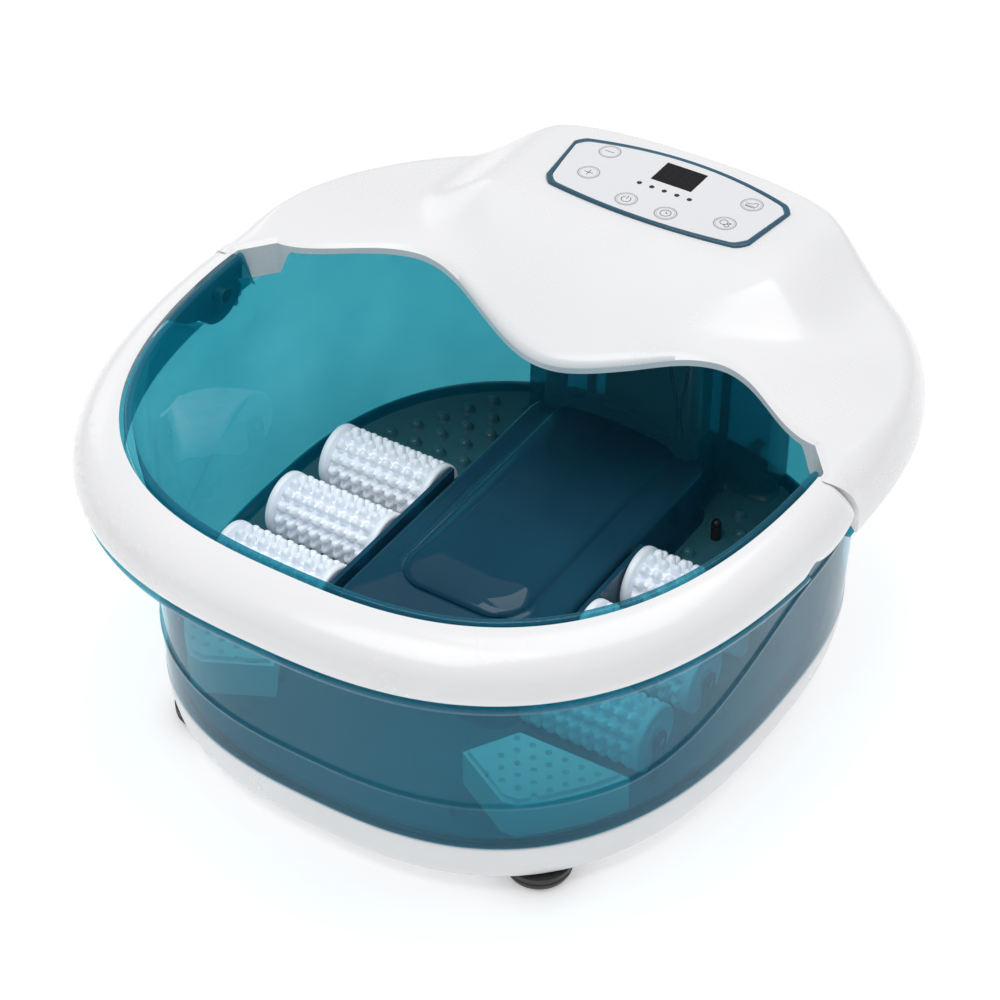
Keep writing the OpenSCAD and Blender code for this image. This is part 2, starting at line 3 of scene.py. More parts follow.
import bpy
import numpy as np
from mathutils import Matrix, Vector


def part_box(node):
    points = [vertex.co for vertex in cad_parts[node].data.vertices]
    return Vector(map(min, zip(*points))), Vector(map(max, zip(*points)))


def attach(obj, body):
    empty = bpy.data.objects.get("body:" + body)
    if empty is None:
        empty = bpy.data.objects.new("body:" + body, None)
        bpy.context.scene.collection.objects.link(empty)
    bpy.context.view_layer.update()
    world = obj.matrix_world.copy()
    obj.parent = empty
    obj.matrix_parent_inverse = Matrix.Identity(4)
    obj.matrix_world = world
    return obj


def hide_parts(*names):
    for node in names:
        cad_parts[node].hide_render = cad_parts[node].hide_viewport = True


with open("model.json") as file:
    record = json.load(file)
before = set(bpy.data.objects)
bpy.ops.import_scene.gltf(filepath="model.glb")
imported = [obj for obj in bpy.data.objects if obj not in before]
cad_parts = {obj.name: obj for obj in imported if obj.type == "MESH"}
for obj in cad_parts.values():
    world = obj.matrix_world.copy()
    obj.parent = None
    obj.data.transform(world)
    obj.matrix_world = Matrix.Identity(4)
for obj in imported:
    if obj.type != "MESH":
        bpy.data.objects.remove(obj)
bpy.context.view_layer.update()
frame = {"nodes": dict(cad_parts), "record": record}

MM = 1000.0


def low(node):
    return np.array(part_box(node)[0]) * MM


def high(node):
    return np.array(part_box(node)[1]) * MM


def centre(node):
    return (low(node) + high(node)) / 2


# Main sizes in mm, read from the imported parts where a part's box gives them.
WIDEST_Y = 23.5
FRONT_POWER, BACK_POWER = 2.64, 2.4
RIM_W = high("handle")[0] - 0.05
RIM_FRONT = WIDEST_Y - low("handle")[1]
RIM_BACK = high("hood")[1] - WIDEST_Y
RIM_Z = 158.0
BAND_W, BAND_H, BAND_SKIN = 18.3, 17.3, 2.6
BAND_TOP_ANGLE, BAND_LOW_ANGLE, BAND_END_ANGLE = 90, -20, -75
WALL_W, WALL_FRONT, WALL_BACK = 150.8, 187.3, 150.0
WALL_LEAN, SKIN = 3.0, 3.0
LIP_TOP = high("tub")[2]
LIP_W, LIP_FRONT, LIP_BACK = 159.2, 193.9, 156.0
LIP_END_Y = 8.0
SEAM_Z = 32.6
FLOOR_Z, FLOOR_UNDER = 31.0, 27.0
BRIM_Z, BRIM_UNDER = 149.5, 145.0
PIVOT_Y, PIVOT_Z = centre("handle_pins")[1], centre("handle_pins")[2]
PIVOT_R = 18.5
NOTCH_R = PIVOT_R + 3
PANEL_Z = high("panel_overlay")[2]
HOOD_SKIN, HOOD_FOOT = 2.6, low("hood")[2]
HUMP_X, HUMP_FRONT, DOME_FRONT = 52.5, -80.0, -48.0
COLUMN_Y, COLUMN_W, BAY_Y, BAY_X = 105.0, 46.0, 138.0, 73.0
MOTOR_ROOM_X, MOTOR_ROOM_FRONT, MOTOR_ROOM_BACK = 46.0, -70.0, 104.0
PANEL_FRONT_W, PANEL_BACK_W, PANEL_FRONT, PANEL_BACK, PANEL_CUT = 57.0, 61.6, 123.0, 169.0, 6.0
FOOT_R = 16.0

# Points round an outline, rows along the hood and along the handle.
AROUND = 400
HOOD_ROWS, HANDLE_ROWS = 420, 460


# ---- meshes ----------------------------------------------------------------


def piece(name, verts, faces, body, materials, replaces=(), part=None, sharp=0.7):
    """A smooth-shaded mesh in mm that rides on a body; part gives each face's material number."""
    mesh = bpy.data.meshes.new(name)
    mesh.from_pydata((np.asarray(verts, float) / MM).tolist(), [], faces)
    for m in materials:
        mesh.materials.append(m)
    mesh.polygons.foreach_set("use_smooth", [True] * len(mesh.polygons))
    if part is not None:
        mesh.polygons.foreach_set("material_index", part)
    mesh.validate()
    mesh.update()
    mesh.set_sharp_from_angle(angle=sharp)
    ob = bpy.data.objects.new(name, mesh)
    bpy.context.scene.collection.objects.link(ob)
    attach(ob, body)
    if replaces:
        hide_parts(*replaces)
    return ob


def grid(rows, across, flip=False):
    """Quads between rows of across points; the last column joins the first."""
    i, j = np.meshgrid(np.arange(rows - 1), np.arange(across), indexing="ij")
    k = (j + 1) % across
    q = np.stack([i * across + j, i * across + k, (i + 1) * across + k, (i + 1) * across + j], -1)
    q = q.reshape(-1, 4)
    return (q[:, ::-1] if flip else q).tolist()


def fan(ring, tip, flip=False):
    """Triangles from a ring of point numbers to one tip."""
    pairs = zip(ring, ring[1:] + ring[:1])
    return [[b, a, tip] if flip else [a, b, tip] for a, b in pairs]


def capped(rings, flip=False):
    """Points and faces of a stack of closed rings, with both ends drawn in to their middles."""
    rings = np.asarray(rings, float)
    rows, n = rings.shape[:2]
    verts = rings.reshape(-1, 3)
    faces = grid(rows, n, flip)
    ends = np.stack([rings[0].mean(0), rings[-1].mean(0)])
    faces += fan(list(range(n)), len(verts), not flip)
    faces += fan(list(range((rows - 1) * n, rows * n)), len(verts) + 1, flip)
    return np.vstack([verts, ends]), faces


def joined(parts):
    """Several (points, faces) as one."""
    verts, faces, n = [], [], 0
    for v, f in parts:
        verts.append(np.asarray(v, float))
        faces += [[i + n for i in face] for face in f]
        n += len(v)
    return np.vstack(verts), faces


def lathe(profile, at, axis="z", n=64):
    """A turned solid: profile is (radius, height) pairs from end to end."""
    a = np.linspace(0, 2 * np.pi, n, endpoint=False)
    rings = []
    for r, h in profile:
        r = max(r, 0.01)
        u, v, w = r * np.cos(a), r * np.sin(a), np.full(n, float(h))
        rings.append(np.stack({"z": [u, v, w], "x": [w, u, v], "y": [v, w, u]}[axis], -1) + at)
    return capped(rings)


def smooth(t):
    """0 to 1 with a soft start and end."""
    t = np.clip(t, 0, 1)
    return t * t * (3 - 2 * t)


def lerp(a, b, t):
    """From a (t = 0) to b (t = 1)."""
    return a + (b - a) * t


def reach(a, w, d, p):
    """Distance to a superellipse of half sizes w and d and power p, in direction a."""
    return ((np.abs(np.cos(a)) / w) ** p + (np.abs(np.sin(a)) / d) ** p) ** (-1 / p)


def egg(a, w, f, b):
    """x and y of the egg outline in direction a (radians)."""
    r = np.where(np.sin(a) < 0, reach(a, w, f, FRONT_POWER), reach(a, w, b, BACK_POWER))
    return r * np.cos(a), WIDEST_Y + r * np.sin(a)


def egg_ring(w, f, b, z):
    """The egg outline as a ring of points at height z."""
    a = np.linspace(0, 2 * np.pi, AROUND, endpoint=False)
    x, y = egg(a, w, f, b)
    return np.stack([x, y, np.broadcast_to(z, x.shape)], -1)


def wall_ring(g, z):
    """The outline of the tub's wall, grown outwards by g."""
    return egg_ring(WALL_W + g, WALL_FRONT + g, WALL_BACK + g, z)


def rounded_rect(hx, y0, y1, r, z, n=160):
    """A ring round a rectangle |x| < hx, y0 < y < y1 with corner radius r."""
    r = max(min(r, hx - 0.2, (y1 - y0) / 2 - 0.2), 0.1)
    a = np.linspace(0, 2 * np.pi, n, endpoint=False) + np.pi / n
    c, s = np.cos(a), np.sin(a)
    x = np.sign(c) * (hx - r) + r * c
    y = (y0 + y1) / 2 + np.sign(s) * ((y1 - y0) / 2 - r) + r * s
    return np.stack([x, y, np.full(n, float(z))], -1)


# ---- materials ---------------------------------------------------------------

# Linear colours of the white plastic and of its darker clouds.
WHITE = (0.765, 0.765, 0.775, 1.0)
WHITE_DARK = (0.735, 0.735, 0.745, 1.0)


class Nodes:
    """Short names for building a material's nodes."""

    def __init__(self, name):
        self.material = bpy.data.materials.new(name)
        self.material.use_nodes = True
        self.tree = self.material.node_tree
        self.tree.nodes.clear()
        self.out = self.add("ShaderNodeOutputMaterial")
        self.where = self.add("ShaderNodeTexCoord").outputs["Object"]

    def add(self, kind, **inputs):
        node = self.tree.nodes.new(kind)
        for key, value in inputs.items():
            self.put(node.inputs[key.replace("_", " ")], value)
        return node

    def put(self, socket, value):
        if isinstance(value, bpy.types.NodeSocket):
            self.tree.links.new(value, socket)
        else:
            socket.default_value = value

    def noise(self, scale, detail=4.0, rough=0.5):
        node = self.add("ShaderNodeTexNoise", Vector=self.where, Scale=scale, Detail=detail, Roughness=rough)
        return node.outputs[0]

    def spread(self, value, a, b, lo=0.0, hi=1.0):
        """Maps lo..hi onto a..b."""
        node = self.add("ShaderNodeMapRange", Value=value)
        for i, v in enumerate((lo, hi, a, b)):
            node.inputs[i + 1].default_value = v
        return node.outputs[0]

    def math(self, kind, a, b=0.0):
        node = self.tree.nodes.new("ShaderNodeMath")
        node.operation = kind
        self.put(node.inputs[0], a)
        self.put(node.inputs[1], b)
        return node.outputs[0]

    def blend(self, factor, a, b):
        node = self.tree.nodes.new("ShaderNodeMix")
        node.data_type = "RGBA"
        self.put(node.inputs[0], factor)
        self.put(node.inputs[6], a)
        self.put(node.inputs[7], b)
        return node.outputs[2]

    def bump(self, height, strength, distance=0.0004, under=None):
        node = self.add("ShaderNodeBump", Height=height, Strength=strength, Distance=distance)
        if under is not None:
            self.put(node.inputs["Normal"], under)
        return node.outputs[0]

    def edges(self, lo, hi):
        return self.spread(self.add("ShaderNodeNewGeometry").outputs["Pointiness"], 0.0, 1.0, lo, hi)

    def finish(self, shader):
        self.tree.links.new(shader, self.out.inputs[0])
        return self.material


def colour(r, g, b):
    return (r, g, b, 1.0)


def shade(col, k):
    """A colour times k."""
    return tuple(c * k for c in col[:3]) + (1.0,)


def moulded(
    name, base, darker, rough=0.3, grain=0.15, grain_scale=900.0, coat=0.0, wear=None, shine=0.5, glow=0.0
):
    """Moulded plastic or rubber: cloudy colour, uneven gloss, fine grain and rubbed edges; glow is painted
    light, an emission in the surface colour.
    """
    n = Nodes(name)
    cloud = n.noise(14.0, 5.0)
    fine = n.noise(grain_scale, 3.0)
    col = n.blend(n.spread(cloud, 0.0, 1.0, 0.35, 0.7), base, darker)
    if wear is not None:
        rubbed = n.math("MULTIPLY", n.edges(0.53, 0.62), n.spread(n.noise(60.0), 0.2, 0.8))
        col = n.blend(rubbed, col, wear)
    gloss = n.math("ADD", n.spread(cloud, rough * 0.8, rough * 1.25, 0.3, 0.7), n.spread(fine, -0.03, 0.03))
    normal = n.bump(fine, grain, 0.0002, n.bump(n.noise(35.0, 2.0), 0.12, 0.0006))
    shader = n.add("ShaderNodeBsdfPrincipled", Base_Color=col, Roughness=gloss, Normal=normal)
    shader.inputs["Specular IOR Level"].default_value = shine
    # Emission in the surface colour at strength glow: painted glow, light the part gives off though it is no
    # lamp.
    n.put(shader.inputs["Emission Color"], col)
    shader.inputs["Emission Strength"].default_value = glow
    shader.inputs["Coat Weight"].default_value = coat
    shader.inputs["Coat Roughness"].default_value = 0.12
    return n.finish(shader.outputs[0])


def tinted(name, tint, body, glow, haze, rough=0.04, specks=0.0):
    """Clear tinted plastic: light passes each face and takes its tint, with a thin haze and a gloss."""
    n = Nodes(name)
    cloud = n.noise(9.0, 4.0)
    deep = tuple(c ** 1.25 for c in tint[:3]) + (1.0,)
    pass_colour = n.blend(n.spread(cloud, 0.0, 1.0, 0.3, 0.7), tint, deep)
    clear = n.add("ShaderNodeBsdfTransparent", Color=pass_colour)
    drops = n.add("ShaderNodeTexVoronoi", Vector=n.where, Scale=230.0)
    dot = n.spread(drops.outputs["Distance"], 1.0, 0.0, 0.06, 0.16)
    chance = n.add("ShaderNodeSeparateColor", Color=drops.outputs["Color"]).outputs[0]
    pick = n.spread(chance, 0.0, 1.0, 0.9, 0.93)
    dots = n.math("MULTIPLY", n.math("MULTIPLY", dot, pick), specks)
    normal = n.bump(dots, 0.5, 0.0005, n.bump(n.noise(22.0, 2.0), 0.18, 0.001))
    cloudy = n.spread(cloud, haze * 0.8, haze * 1.2, 0.3, 0.7)
    haze_share = n.math("ADD", cloudy, n.math("MULTIPLY", dots, 0.3))
    skin = n.blend(dots, body, shade(body, 0.25))
    dull = n.add("ShaderNodeMixShader")
    dull.inputs[0].default_value = 0.35
    n.put(dull.inputs[1], n.add("ShaderNodeBsdfDiffuse", Color=skin).outputs[0])
    n.put(dull.inputs[2], n.add("ShaderNodeBsdfTranslucent", Color=glow).outputs[0])
    inside = n.add("ShaderNodeMixShader")
    n.put(inside.inputs[0], haze_share)
    n.put(inside.inputs[1], clear.outputs[0])
    n.put(inside.inputs[2], dull.outputs[0])
    shine = n.add("ShaderNodeBsdfGlossy", Color=colour(0.92, 0.97, 1.0), Normal=normal)
    n.put(shine.inputs["Roughness"], n.spread(n.noise(30.0), rough * 0.7, rough * 1.6, 0.3, 0.7))
    facing = n.add("ShaderNodeLayerWeight", Blend=0.26, Normal=normal).outputs["Fresnel"]
    front = n.math("SUBTRACT", 1.0, n.add("ShaderNodeNewGeometry").outputs["Backfacing"])
    top = n.add("ShaderNodeMixShader")
    n.put(top.inputs[0], n.math("MULTIPLY", facing, front))
    n.put(top.inputs[1], inside.outputs[0])
    n.put(top.inputs[2], shine.outputs[0])
    return n.finish(top.outputs[0])


def brushed(name, base, rough=0.32):
    """Brushed metal with fine lines along X."""
    n = Nodes(name)
    turn = n.add("ShaderNodeMapping", Vector=n.where, Scale=(1.0, 40.0, 40.0))
    lines = n.add("ShaderNodeTexNoise", Vector=turn.outputs[0], Scale=60.0, Detail=4.0).outputs[0]
    col = n.blend(lines, base, shade(base, 0.75))
    shader = n.add(
        "ShaderNodeBsdfPrincipled",
        Base_Color=col,
        Metallic=1.0,
        Roughness=n.spread(lines, rough * 0.8, rough * 1.3),
        Normal=n.bump(lines, 0.2, 0.0001),
    )
    return n.finish(shader.outputs[0])


def grip_white():
    """The handle's white plastic, with a faint patch of short dashes on its front left; places in metres."""
    n = Nodes("white_grip")
    cloud = n.noise(14.0, 5.0)
    fine = n.noise(900.0, 3.0)
    cell = n.add("ShaderNodeTexVoronoi", Vector=n.where, Scale=150.0)
    cell.inputs["Randomness"].default_value = 0.12
    dash = n.spread(cell.outputs["Distance"], 1.0, 0.0, 0.12, 0.4)
    xyz = n.add("ShaderNodeSeparateXYZ", Vector=n.where)
    left = n.spread(xyz.outputs[0], 1.0, 0.0, -0.045, -0.02)
    right = n.spread(xyz.outputs[0], 0.0, 1.0, -0.165, -0.135)
    ahead = n.spread(xyz.outputs[1], 1.0, 0.0, -0.10, -0.07)
    up = n.spread(xyz.outputs[2], 0.0, 1.0, 0.153, 0.157)
    down = n.spread(xyz.outputs[2], 1.0, 0.0, 0.171, 0.174)
    raised = dash
    for limit in (left, right, ahead, up, down):
        raised = n.math("MULTIPLY", raised, limit)
    col = n.blend(n.spread(cloud, 0.0, 1.0, 0.35, 0.7), WHITE, WHITE_DARK)
    normal = n.bump(raised, 0.55, 0.0006, n.bump(fine, 0.02, 0.0002))
    shader = n.add(
        "ShaderNodeBsdfPrincipled",
        Base_Color=col,
        Roughness=n.math("ADD", n.spread(cloud, 0.2, 0.3, 0.3, 0.7), n.math("MULTIPLY", raised, 0.12)),
        Normal=normal,
    )
    shader.inputs["Coat Weight"].default_value = 0.25
    shader.inputs["Coat Roughness"].default_value = 0.1
    return n.finish(shader.outputs[0])


white = moulded("white_gloss", WHITE, WHITE_DARK, 0.26, 0.05, coat=0.25)
white_base = moulded("white_base", colour(0.80, 0.80, 0.81), colour(0.76, 0.76, 0.77), 0.3, 0.06, coat=0.15)
grip = grip_white()
film = moulded("panel_film", colour(0.70, 0.705, 0.72), colour(0.67, 0.675, 0.69), 0.4, 0.1, 1400.0)
border = moulded("border_blue", colour(0.012, 0.085, 0.14), colour(0.008, 0.065, 0.11), 0.25, 0.05, coat=0.3)
ink = moulded("ink_dark", colour(0.030, 0.030, 0.035), colour(0.02, 0.02, 0.025), 0.5, 0.05)
faint_ink = moulded("ink_pale", colour(0.30, 0.31, 0.33), colour(0.25, 0.26, 0.28), 0.5, 0.05)
screen = moulded(
    "screen_black", colour(0.006, 0.006, 0.008), colour(0.004, 0.004, 0.005), 0.16, 0.02, shine=0.2
)
ghost = moulded(
    "screen_ghost", colour(0.011, 0.011, 0.013), colour(0.009, 0.009, 0.011), 0.3, 0.02, shine=0.2
)
# The rollers (glow 0.08) and infusion boxes (glow 0.15) emit a little light: painted light for the light that
# reaches them in the wells through the teal walls and the open mouth.
roller_white = moulded(
    "roller_white", colour(0.88, 0.92, 0.97), colour(0.83, 0.87, 0.94), 0.33, 0.1, coat=0.1, glow=0.08
)
box_white = moulded("box_white", colour(0.84, 0.90, 0.90), colour(0.79, 0.85, 0.85), 0.35, 0.1, glow=0.15)
worn = colour(0.05, 0.05, 0.05)
rubber = moulded("rubber_black", colour(0.014, 0.013, 0.013), colour(0.022, 0.02, 0.02), 0.5, 0.35, wear=worn)
black = moulded("plastic_black", colour(0.012, 0.012, 0.014), colour(0.02, 0.02, 0.022), 0.3, 0.15)
grey = moulded("plastic_grey", colour(0.30, 0.32, 0.35), colour(0.25, 0.27, 0.30), 0.45, 0.2)
board = moulded("board_green", colour(0.02, 0.09, 0.045), colour(0.015, 0.07, 0.035), 0.4, 0.2)
steel = brushed("steel_brushed", colour(0.62, 0.63, 0.65))

# The clear plastic: tint of what passes, colour of the haze, colour of light in the haze, share of haze.
teal_wall = tinted(
    "teal_wall", colour(0.27, 0.63, 0.68), colour(0.008, 0.36, 0.58), colour(0.05, 0.52, 0.64), 0.19, specks=0.6
)
# The floor's teal is a darker copy of the wall's teal plastic: its extra darkness is painted shade for the dim
# base beneath the floor.
teal_floor_painted_shade = tinted(
    "teal_floor_painted_shade", colour(0.12, 0.38, 0.44), colour(0.10, 0.33, 0.39), colour(0.07, 0.32, 0.38), 0.6, 0.05
)
teal_column = tinted(
    "teal_column", colour(0.35, 0.68, 0.76), colour(0.05, 0.24, 0.30), colour(0.05, 0.3, 0.36), 0.45, 0.05
)
# The divider's teal is a darker copy of the teal plastic: its extra darkness is painted shade for the dim space
# inside and under the divider.
teal_hump_painted_shade = tinted(
    "teal_hump_painted_shade", colour(0.09, 0.30, 0.40), colour(0.034, 0.165, 0.27), colour(0.04, 0.24, 0.34), 0.52, 0.03
)


# ---- tub ---------------------------------------------------------------------


def crease(ring):
    """Height of the styling line on the outer wall: level round the front, rising along the sides."""
    return 60.0 + 37.0 * smooth((ring[:, 1] + 105.0) / 130.0)


def wall_out(z):
    """One ring of the outer wall; the wall steps in by a hair above the styling line."""
    base = wall_ring(0, z)
    step = smooth((z - crease(base)) / 1.8)
    ridge = np.exp(-(((z - crease(base)) / 1.1) ** 2))
    g = WALL_LEAN * (z - SEAM_Z) / (BRIM_UNDER - SEAM_Z) - 0.9 * step + 0.5 * ridge
    a = np.linspace(0, 2 * np.pi, AROUND, endpoint=False)
    x, y = egg(a, WALL_W + g, WALL_FRONT + g, WALL_BACK + g)
    return np.stack([x, y, base[:, 2]], -1)


def lip_ring(g, drop=0.0):
    """The mouth's edge, grown outwards by g: upright round the front, level with the brim under the hood."""
    ring = egg_ring(LIP_W + g, LIP_FRONT + g, LIP_BACK + g, 0)
    ring[:, 2] = lerp(LIP_TOP - drop, BRIM_Z + 2 - drop * 0.3, smooth((ring[:, 1] - LIP_END_Y) / 9.0))
    return ring


def floor_rings(z, rise):
    """Level rings from the middle out; inside the divider they lift to make room for the motor."""
    rings = []
    for k in np.linspace(0.05, 0.97, 44):
        ring = egg_ring(k * 138, k * 174, k * 137, z)
        x, y = ring[:, 0], ring[:, 1]
        inside = smooth((y - MOTOR_ROOM_FRONT) / 5) * smooth((MOTOR_ROOM_BACK - y) / 5)
        ring[:, 2] += rise * smooth((MOTOR_ROOM_X - np.abs(x)) / 5) * inside
        rings.append(ring)
    return rings


def tub():
    """The clear shell: underside, outer wall, brim, lip, inner wall and floor, in one skin."""
    outer = floor_rings(FLOOR_UNDER, 30)
    foot = ((-6, FLOOR_UNDER), (-3, FLOOR_UNDER + 0.6), (-2, FLOOR_UNDER + 2))
    seam = ((-2, SEAM_Z - 0.1), (-0.4, SEAM_Z), (0, SEAM_Z + 0.5))
    outer += [wall_ring(g, z) for g, z in foot + seam]
    outer += [wall_out(z) for z in np.linspace(SEAM_Z + 1, BRIM_UNDER - 7, 132)]
    flare = ((-0.6, 5), (0.4, 3.4), (2, 2.2), (5, 1.3))
    outer += [wall_ring(WALL_LEAN + g, BRIM_UNDER - h) for g, h in flare]
    brim = ((-6.5, BRIM_UNDER - 0.6), (-2.6, BRIM_UNDER))
    brim += ((-1.8, BRIM_Z - 2.6), (-1.6, BRIM_Z - 1), (-2.2, BRIM_Z))
    top = [egg_ring(RIM_W + g, RIM_FRONT - 0.6 + g, RIM_BACK - 0.3 + g, z) for g, z in brim]
    top += [egg_ring(LIP_W + 1.5, LIP_FRONT + 1.5, LIP_BACK + 1.5, BRIM_Z)]
    lip = ((0, 1.2), (-0.35, 0.35), (-1.2, 0), (-2.4, 0), (-3.2, 0.4), (-3.6, 1.3))
    top += [lip_ring(g, drop) for g, drop in lip]
    inner = [lip_ring(-3.9, 5), lip_ring(-4.1, 12)]
    for t in np.linspace(0, 1, 26):
        inner.append(wall_ring(lerp(0.6, -SKIN, t), lerp(BRIM_UNDER - 3, FLOOR_Z + 9, t)))
    for t in np.linspace(0.15, 1, 7):
        c, s = 1 - np.cos(t * np.pi / 2), np.sin(t * np.pi / 2)
        inner.append(wall_ring(-SKIN - 9 * c, FLOOR_Z + 9 - 9 * s))
    rings = np.stack(outer + top + inner + floor_rings(FLOOR_Z, 28.5)[::-1])
    notch(rings[len(outer) - 3 : len(outer) + 6])
    verts, faces = capped(rings)
    walls = (len(outer) + len(top) + len(inner) - 3) * AROUND
    part = [0 if i < walls else 1 for i in range(len(faces))]
    piece("tub_shell", verts, faces, "basin", [teal_wall, teal_floor_painted_shade], ["tub"], part, 0.9)


def notch(rings):
    """Pulls the brim in around the handle's round ends."""
    for ring in rings:
        near = np.abs(ring[:, 1] - PIVOT_Y) < NOTCH_R
        near &= (np.abs(ring[:, 0]) > LIP_W + 0.4) & (ring[:, 2] > 138)
        depth = PIVOT_Z - np.sqrt(np.maximum(NOTCH_R**2 - (ring[:, 1] - PIVOT_Y) ** 2, 0))
        near &= ring[:, 2] > depth
        ring[near, 0] = np.sign(ring[near, 0]) * (LIP_W + 0.5)


def divider():
    """The divider as a shell, from inside to out: hollow, plinth with its shoulder line, long dome on top."""
    back = COLUMN_Y + 14
    rings = [rounded_rect(8, 0, 40, 6, 61.5), rounded_rect(47.5, -73, COLUMN_Y + 9, 12, 61.5)]
    rings.append(rounded_rect(50, -77, COLUMN_Y + 11, 14, 31.2))
    for inset, z in ((-1.6, 30.9), (-1.0, 31.4), (-0.5, 33.5), (0, 38), (0.4, 50), (0.8, 58.4)):
        rings.append(rounded_rect(HUMP_X - inset, HUMP_FRONT + inset, back, 16, z))
    for t in np.linspace(0, 1, 8):
        c, s = 1 - np.cos(t * np.pi / 2), np.sin(t * np.pi / 2)
        inset = 0.9 + 4.7 * c
        rings.append(rounded_rect(HUMP_X - inset, HUMP_FRONT + inset, back, 15, 59.2 + 5.4 * s))
    for inset, z in ((8, 64.8), (12, 65.0), (15.4, 65.3), (16.6, 65.9)):
        front = lerp(HUMP_FRONT, DOME_FRONT, (inset - 5) / 12) + 4
        rings.append(rounded_rect(HUMP_X - inset, front, back, 14, z))
    for t in np.linspace(0, 1, 12):
        c, s = 1 - np.cos(t * np.pi / 2), np.sin(t * np.pi / 2)
        rings.append(rounded_rect(35 - 17 * c, DOME_FRONT + 20 * c, back, 18, 66.4 + 6.2 * s))
    for k in (0.7, 0.4, 0.1):
        rings.append(rounded_rect(18 * k, lerp(30, DOME_FRONT + 20, k), back, 18 * k, 72.6 + (1 - k) ** 0.5))
    verts, faces = capped(np.stack(rings))
    piece("tub_divider", verts, faces, "basin", [teal_hump_painted_shade], sharp=1.2)


def column():
    """The hollow column behind the divider, wider at the back, flared where it meets the floor."""
    def ring(g, z):
        front, side, bay = COLUMN_Y - g, COLUMN_W + g, BAY_Y - g
        half = [(0, front), (36, front), (42, front + 1), (side, front + 6), (side, COLUMN_Y + 12)]
        half += [(side, bay - 6), (side + 2, bay), (54, bay), (66, bay)]
        half += [(BAY_X + g - 1, bay + 1), (BAY_X + g, BAY_Y + 7)]
        back = egg(np.radians(np.linspace(62, 90, 7)), WALL_W - 1.5, WALL_FRONT - 1.5, WALL_BACK - 1.5)
        half += list(zip(back[0].tolist(), back[1].tolist()))
        full = half + [(-x, y) for x, y in half[-2:0:-1]]
        pts = np.array(full)
        after = np.roll(pts, -1, 0)
        dense = np.stack([lerp(pts, after, t) for t in (0, 0.34, 0.67)], 1).reshape(-1, 2)
        return np.column_stack([dense, np.full(len(dense), float(z))])
    rings = [ring(4, 30.6), ring(2, 31.8), ring(0.7, 34), ring(0, 38)]
    rings += [ring(-z * 0.006, 38 + z) for z in np.linspace(6, 109, 12)]
    verts, faces = capped(np.stack(rings))
    piece("tub_column", verts, faces, "basin", [teal_column], sharp=0.9)


def floor_domes():
    """Rounded massage nodes all over the floor of both wells."""
    parts = []
    dome = [(4.6, -0.2), (4.0, 0.5), (3.5, 1.6), (3.1, 2.8), (2.4, 3.7), (1.3, 4.2), (0.4, 4.35)]
    sensor_at = centre("temperature_sensor")
    for i in range(9):
        for j in range(22):
            x = 60 + 15.5 * i + (j % 2) * 7.7
            y = -132 + 13.2 * j
            deep = WALL_FRONT - 16 if y < WIDEST_Y else WALL_BACK - 18
            fits = (x / (WALL_W - 16)) ** 2.6 + (abs(y - WIDEST_Y) / deep) ** 2.5
            by_bay = x < BAY_X + 7 and y > BAY_Y - 8
            by_sensor = abs(x - sensor_at[0]) + abs(y - sensor_at[1]) < 9
            if fits > 1 or by_bay or by_sensor:
                continue
            for side in (-1, 1):
                parts.append(lathe(dome, np.array([side * x, y, FLOOR_Z]), n=14))
    verts, faces = joined(parts)
    piece("tub_floor_nodes", verts, faces, "basin", [teal_floor_painted_shade], sharp=1.3)


# ---- hood --------------------------------------------------------------------


def wave_y(x):
    """Place of the hood's front edge: nearest in the middle, furthest back over the wells."""
    return np.where(x < 82, lerp(32.0, 58.0, smooth(x / 82)), lerp(58.0, 25.5, smooth((x - 82) / 66)))


def wave_z(x):
    """Height of the lower side of that edge."""
    return np.where(x < 118, lerp(154.0, 171.0, smooth(x / 118)), lerp(171.0, 157.0, smooth((x - 140) / 8)))


def hood_height(x, y):
    """Height of the hood's face before its outer shoulder: console, sloping tongue and side crowns."""
    a = np.abs(x)
    back = np.clip((112 - y) / 80, 0, 1)
    slope = PANEL_Z - 1.2 - 30 * back**1.35
    crown = lerp(176.0, 169.0, smooth((y - 30) / 120))
    inner = lerp(40.0, 74.0, smooth((y - 60) / 50))
    outer = lerp(108.0, 120.0, smooth((y - 60) / 50))
    return lerp(slope, crown, smooth((a - inner) / (outer - inner)))


def shoulder(q):
    """A quarter round from 0 to 1."""
    return np.sqrt(np.clip(1 - (1 - np.clip(q, 0, 1)) ** 2, 0, 1))


def hood_edge(u):
    """The hood's inner edge: a short upright tab at each end, then the wave."""
    tab = 0.05
    v = min(u, 1 - u)
    if v < tab / 2:
        p = [160.4, lerp(-1, 10, v * 2 / tab), 157.0]
    elif v < tab:
        t = v * 2 / tab - 1
        p = [lerp(160.4, 148, t), lerp(10, 25.5, t), 157.0]
    else:
        x = 148 * np.cos(np.pi * (v - tab) / (1 - 2 * tab))
        p = [x, float(wave_y(abs(x))), float(wave_z(abs(x)))]
    return np.array(p if u <= 0.5 else [-p[0], p[1], p[2]])


